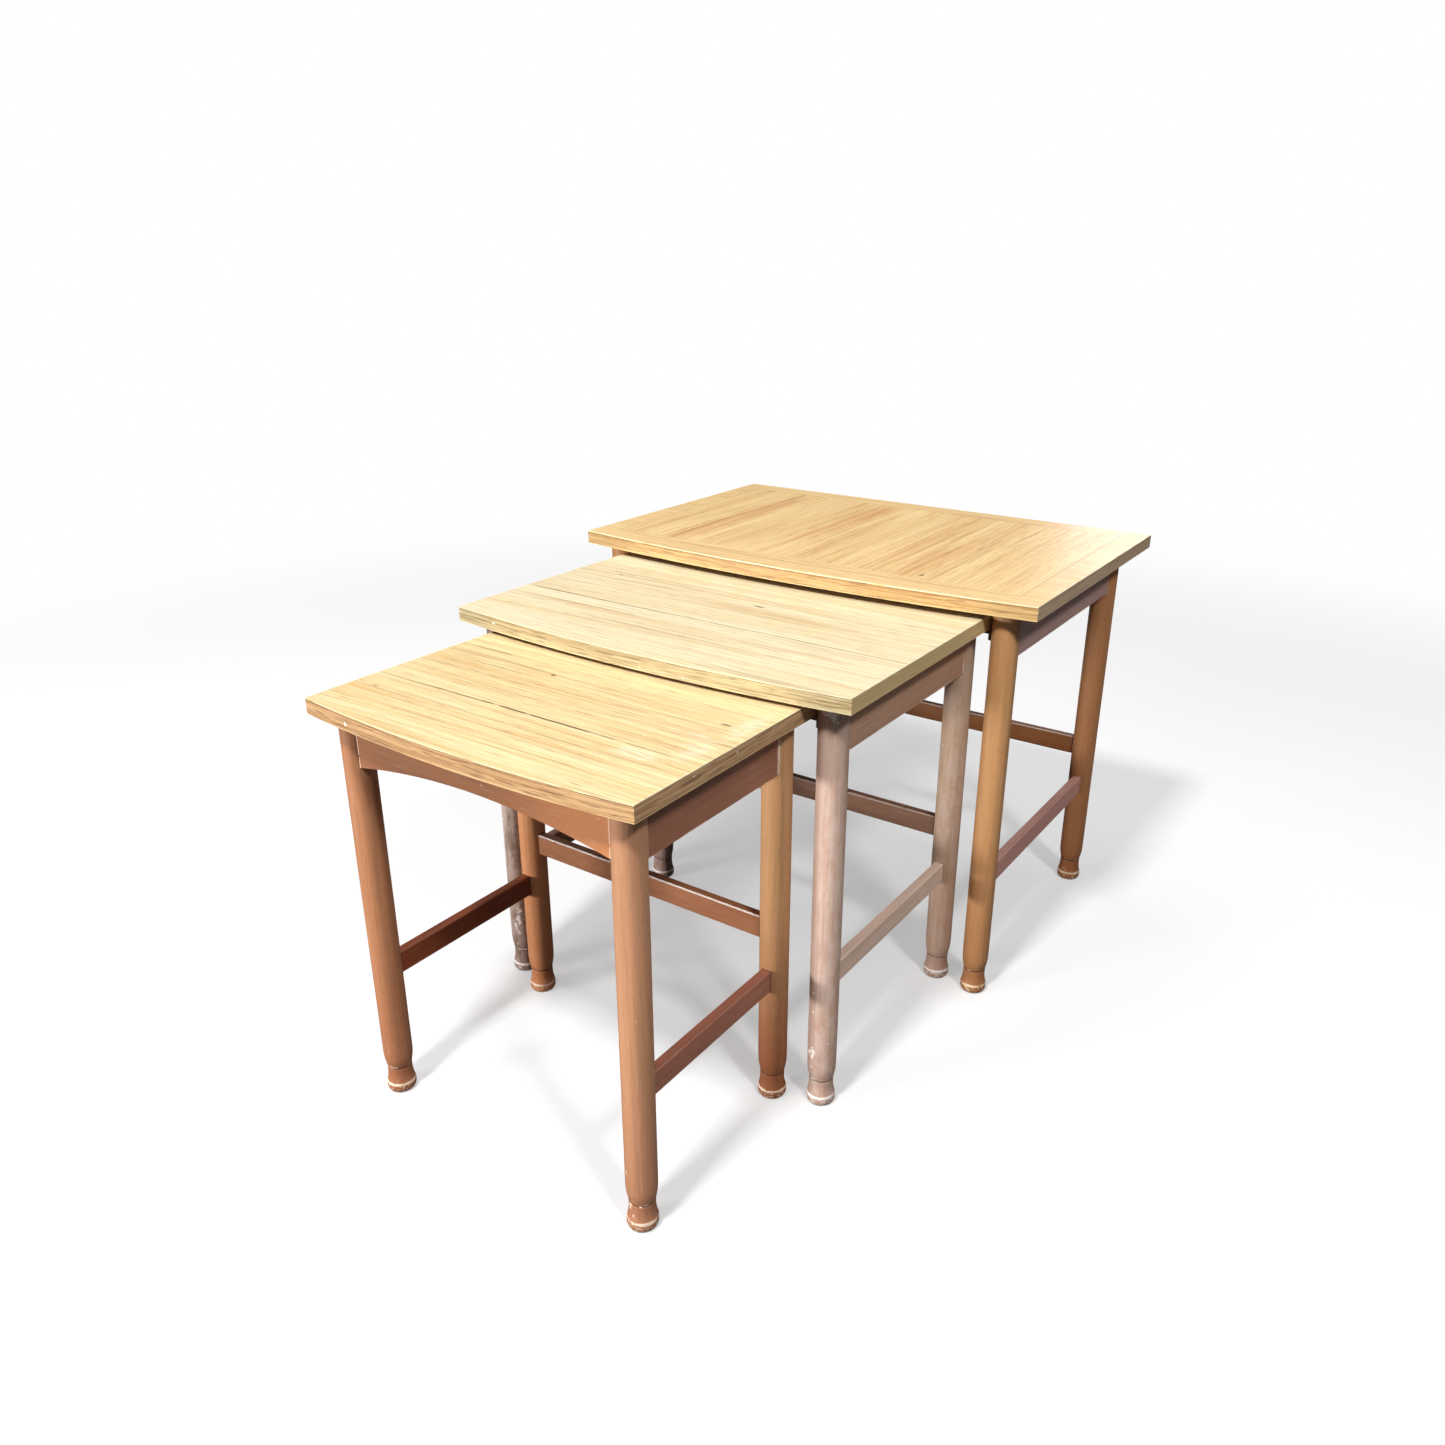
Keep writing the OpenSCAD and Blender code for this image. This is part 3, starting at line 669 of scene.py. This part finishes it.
def turned_leg(table, where, seed, scuffs=()):
    """A leg of its own fine mesh: the turning, small dents, chipped rim and a wear map."""
    name = f"{table}_leg_{where}"
    lo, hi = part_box(name)
    cx, cy, height = (lo.x + hi.x) / 2, (lo.y + hi.y) / 2, (hi.z - lo.z) * 1000
    rnd = random.Random(seed)
    dents = [(rnd.uniform(60, height - 20), rnd.uniform(0, math.tau), rnd.uniform(1.5, 4.0),
              rnd.uniform(0.1, 0.35)) for _ in range(DENTS)]
    levels = [RING_STEP * i for i in range(FOOT_RINGS)]
    shaft = height - levels[-1]
    levels += [levels[-1] + shaft * i / SHAFT_RINGS for i in range(1, SHAFT_RINGS + 1)]
    verts, wear = [], []
    shift = Vector((seed * 3.7, seed * 1.3, seed * 2.1))
    for z in levels:
        r0 = leg_radius(z)
        for k in range(LEG_SIDES):
            a = math.tau * k / LEG_SIDES
            d = Vector((math.cos(a), math.sin(a), 0))
            bite = field.noise(Vector((d.x * 3.2, d.y * 3.2, z * 0.35)) + shift)
            broad = field.noise(Vector((d.x * 1.1, d.y * 1.1, z * 0.02)) + shift)
            rim = math.exp(-((z - RIM_Z) / 1.5) ** 2)
            pad = math.exp(-(z / 4.5) ** 2)
            shoulder = math.exp(-((z - SHOULDER_Z) / 1.6) ** 2)
            r = r0 + 0.05 * broad - 0.55 * max(0.0, bite - 0.12) * (rim + 0.8 * pad)
            w = rim * (1.10 + 0.9 * broad) + pad * (0.30 + 1.1 * bite)
            w += shoulder * max(0.0, 0.25 + 1.2 * broad) + 0.12 * max(0.0, bite) * (z < 60)
            for dz, da, size, deep in dents:
                across = ((a - da + math.pi) % math.tau - math.pi) * r0
                q = (across * across + (z - dz) ** 2) / (size * size)
                if q < 6:
                    r -= deep * math.exp(-q)
                    w += 0.5 * math.exp(-q * 2.5) * (deep > 0.24)
            for sz, sa, rz, ra, strength in scuffs:
                across = ((a - sa + math.pi) % math.tau - math.pi) * r0
                q = (across / ra) ** 2 + ((z - sz) / rz) ** 2
                if q < 6:
                    w += strength * math.exp(-q) * (0.7 + 0.9 * bite)
            verts.append((cx + r * d.x * 0.001, cy + r * d.y * 0.001, z * 0.001))
            wear.append(w)
    leg = tube(f"turned_{name}", verts, LEG_SIDES)
    for end in (-1, -2):
        leg.data.polygons[len(leg.data.polygons) + end].use_smooth = False
    leg.data.attributes.new("wear", "FLOAT", "POINT").data.foreach_set("value", wear)
    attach(leg, table)
    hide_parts(name)
    return leg


# Where one leg is finished or worn unlike the others of its table, or given painted shade on its
# left side, where the small table's top shades it. A scuff is the height and angle of its middle,
# its half height and half width, and its strength, in millimetres and radians.
LEG_FINISH = {("small", "back_right"): {"foot": 1.0}, ("medium", "front_left"): {"specks": 0.12},
              ("medium", "front_right"): {"foot": 0.10, "painted_left_shade": 0.75}}
SCUFFS = {
    ("medium", "front_right"): [(442, -1.7, 3.0, 16, 1.4), (438, -0.9, 6.0, 6, 1.2),
                                (60, -1.9, 26, 9, 0.7), (120, -1.5, 30, 8, 0.45)],
    ("medium", "front_left"): [(70, -1.2, 22, 9, 0.8), (120, -0.9, 30, 6, 0.6)],
    ("small", "front_left"): [(22, -2.5, 6, 4, 1.6), (30, -2.7, 4, 3, 1.2)],
    ("small", "front_right"): [(26, -1.9, 4, 2.5, 1.2), (18, -1.6, 4, 1.5, 1.0),
                               (30, -1.4, 2, 6, 1.0), (66, -2.0, 3, 2, 1.2)],
}
for i, t in enumerate(TABLES):
    for j, where in enumerate(("front_left", "front_right", "back_left", "back_right")):
        leg = turned_leg(t, where, 11 + 4 * i + j, SCUFFS.get((t, where), ()))
        leg.data.materials.append(timber(f"{t}_leg_{where}_wood", "z", WOOD_AND_PAINTED_LIGHT[t][f"leg_{where}"],
                                         {**FINISH[t], **LEG_FINISH.get((t, where), {})},
                                         1.9 + 5.3 * i + 1.7 * j, t, "leg"))


# ---- beads of old glue -------------------------------------------------------------

BEAD_RINGS, BEAD_SIDES = 70, 14


def glue_bead(table, low, high, thick, drop, seed):
    """Squeezed-out glue, gone pale, where the right apron meets the back leg.

    It runs between two heights above the apron's lower edge, and ends below in a drop.
    """
    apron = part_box(f"{table}_apron_right")
    p = P[table]
    x = apron[1].x
    y = p["back_y"] - math.sqrt(p["leg_r"] ** 2 - (x - p["leg_x"]) ** 2)
    shift = Vector((seed, seed * 2.3, 0))
    verts = []
    for i in range(BEAD_RINGS + 1):
        t = i / BEAD_RINGS
        z = apron[0].z + low + (high - low) * t
        ragged = field.noise(Vector((0, 0, z * 900)) + shift)
        sway = field.noise(Vector((5, 0, z * 420)) + shift) * 0.0003
        r = thick * (1 + 0.55 * ragged) + drop * math.exp(-(t * (high - low) / 0.0016) ** 2)
        r *= math.sin(math.pi * min(max(t, 0.004), 0.996)) ** 0.25
        for k in range(BEAD_SIDES):
            a = math.tau * k / BEAD_SIDES
            verts.append((x + r * math.cos(a), y + sway + r * math.sin(a), z))
    bead = tube(f"glue_bead_{table}", verts, BEAD_SIDES)
    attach(bead, table)
    return bead


glue = plain_stuff("old_glue", rgb(255, 246, 232), rgb(250, 222, 194), 900, 0.28)
glue_bead("small", 0.001, 0.047, 0.0011, 0.0009, 4.2).data.materials.append(glue)
glue_bead("medium", 0.001, 0.016, 0.0004, 0.0008, 8.7).data.materials.append(glue)


# ---- stage, light and camera --------------------------------------------------------

lo, hi = cad_box
centre = (lo + hi) / 2
scene = bpy.context.scene

FLOOR_SIZE = 40.0
FLOOR_DROP = 0.0003             # below the feet, so that no face lies on another
FLOOR_FADE = (1.3, 2.6)         # distances over which the floor fades into the backdrop
FLOOR_GLOW = 0.38               # how far the floor's shadows are lifted
FLOOR_BOUNCE = 0.10             # the floor as light sees it: it throws little back up
SKY_HEIGHTS, SKY_LIGHT = (0.1, 0.6), 0.22


def grey(level):
    """A neutral linear colour."""
    return (level, level, level, 1)


def make_floor():
    """A pale floor that turns into the white backdrop further out."""
    n = Net("studio_floor")
    away = (n.x * n.x + n.y * n.y).sqrt()
    shade = n.noise(n.x * 3, n.y * 3, 0.0)
    colour = n.mix(shade, grey(0.90), grey(0.92))
    path = n.node("ShaderNodeLightPath")
    seen = Val(n, path.outputs["Is Camera Ray"])
    colour = n.mix(seen, grey(FLOOR_BOUNCE), colour)
    diffuse = n.node("ShaderNodeBsdfDiffuse", {"Color": colour})
    glow = n.node("ShaderNodeEmission", {"Color": grey(1), "Strength": 1.0})
    far = n.step(away, *FLOOR_FADE)
    blend = n.node("ShaderNodeMixShader", {0: (far + (1 - far) * FLOOR_GLOW) * seen})
    n.tree.links.new(diffuse.outputs[0], blend.inputs[1])
    n.tree.links.new(glow.outputs[0], blend.inputs[2])
    out = n.node("ShaderNodeOutputMaterial")
    n.tree.links.new(blend.outputs[0], out.inputs[0])
    s = FLOOR_SIZE
    mesh = bpy.data.meshes.new("floor")
    mesh.from_pydata([(-s, -s, 0), (s, -s, 0), (s, s, 0), (-s, s, 0)], [], [(0, 1, 2, 3)])
    floor = bpy.data.objects.new("floor", mesh)
    floor.location.z = lo.z - FLOOR_DROP
    mesh.materials.append(n.mat)
    scene.collection.objects.link(floor)


def area_light(name, place, aim, size, power, colour=(1.0, 1.0, 1.0)):
    """A rectangular lamp at place that faces aim; size is (width, height)."""
    data = bpy.data.lights.new(name, "AREA")
    data.shape = "RECTANGLE"
    data.size, data.size_y = size
    data.energy = power
    data.color = colour
    lamp = bpy.data.objects.new(name, data)
    lamp.location = place
    lamp.rotation_mode = "QUATERNION"
    lamp.rotation_quaternion = (place - aim).to_track_quat("Z", "Y")
    scene.collection.objects.link(lamp)


def make_world():
    """White to the eye; as light, a soft sky that is brighter overhead."""
    world = bpy.data.worlds.new("studio")
    world.use_nodes = True
    tree = world.node_tree
    tree.nodes.clear()
    out = tree.nodes.new("ShaderNodeOutputWorld")
    seen = tree.nodes.new("ShaderNodeBackground")
    seen.inputs[0].default_value = grey(1)
    fill = tree.nodes.new("ShaderNodeBackground")
    fill.inputs[0].default_value = grey(1)
    sky = tree.nodes.new("ShaderNodeMapRange")
    ways = tree.nodes.new("ShaderNodeSeparateXYZ")
    tree.links.new(tree.nodes.new("ShaderNodeTexCoord").outputs["Generated"], ways.inputs[0])
    tree.links.new(ways.outputs[2], sky.inputs["Value"])
    sky.inputs["From Min"].default_value, sky.inputs["From Max"].default_value = SKY_HEIGHTS
    sky.inputs["To Max"].default_value = SKY_LIGHT
    tree.links.new(sky.outputs["Result"], fill.inputs[1])
    path = tree.nodes.new("ShaderNodeLightPath")
    mix = tree.nodes.new("ShaderNodeMixShader")
    tree.links.new(path.outputs["Is Camera Ray"], mix.inputs[0])
    tree.links.new(fill.outputs[0], mix.inputs[1])
    tree.links.new(seen.outputs[0], mix.inputs[2])
    tree.links.new(mix.outputs[0], out.inputs[0])
    scene.world = world


EYE = Vector((0.6944, -1.0400, 0.8316))     # from the nest's middle, at floor level
YAW, PITCH, ROLL = 35.21, 22.38, -0.17      # degrees left, down and round
LENS, SENSOR = 28.906, 36.0


def make_camera():
    """The eye is to the right of the small table, looking down over the nest."""
    yaw, pitch, roll = math.radians(YAW), math.radians(PITCH), math.radians(ROLL)
    ahead = Vector((-math.sin(yaw) * math.cos(pitch), math.cos(yaw) * math.cos(pitch),
                    -math.sin(pitch)))
    right = Vector((math.cos(yaw), math.sin(yaw), 0))
    up = right.cross(ahead)
    across = right * math.cos(roll) + up * math.sin(roll)
    upward = up * math.cos(roll) - right * math.sin(roll)
    data = bpy.data.cameras.new("camera")
    data.sensor_width = SENSOR
    data.lens = LENS
    data.clip_start, data.clip_end = 0.05, 200.0
    cam = bpy.data.objects.new("camera", data)
    basis = Matrix((across, upward, -ahead)).transposed().to_4x4()
    middle = Vector((centre.x, centre.y, lo.z))
    cam.matrix_world = Matrix.Translation(middle + EYE) @ basis
    scene.collection.objects.link(cam)
    scene.camera = cam


aim = centre + Vector((0, 0, 0.1))


def toward(azimuth, elevation, distance):
    """A place in degrees right of the nest's front and above the level of aim, in metres away."""
    az, el = math.radians(azimuth), math.radians(elevation)
    return aim + distance * Vector((math.sin(az) * math.cos(el), -math.cos(az) * math.cos(el),
                                    math.sin(el)))


make_floor()
make_world()
area_light("key", toward(3, 56, 4.5), aim, (0.45, 0.45), 158)
area_light("camera_side", toward(60, 45, 4.0), aim, (0.4, 0.4), 64)
area_light("fill_left", toward(-32, 3, 4.0), aim, (1.0, 0.4), 118)
area_light("overhead", toward(-110, 68, 2.7), aim, (1.6, 1.6), 20)
# A low pinkish lamp behind, for the sheen on the far right corner of the large top.
area_light("back_glow", aim + Vector((-0.70, 3.95, 0.95)), aim, (0.5, 0.4), 4.6,
           (1.0, 0.86, 0.96))
make_camera()
scene.view_settings.view_transform = "Standard"
scene.view_settings.look = "None"
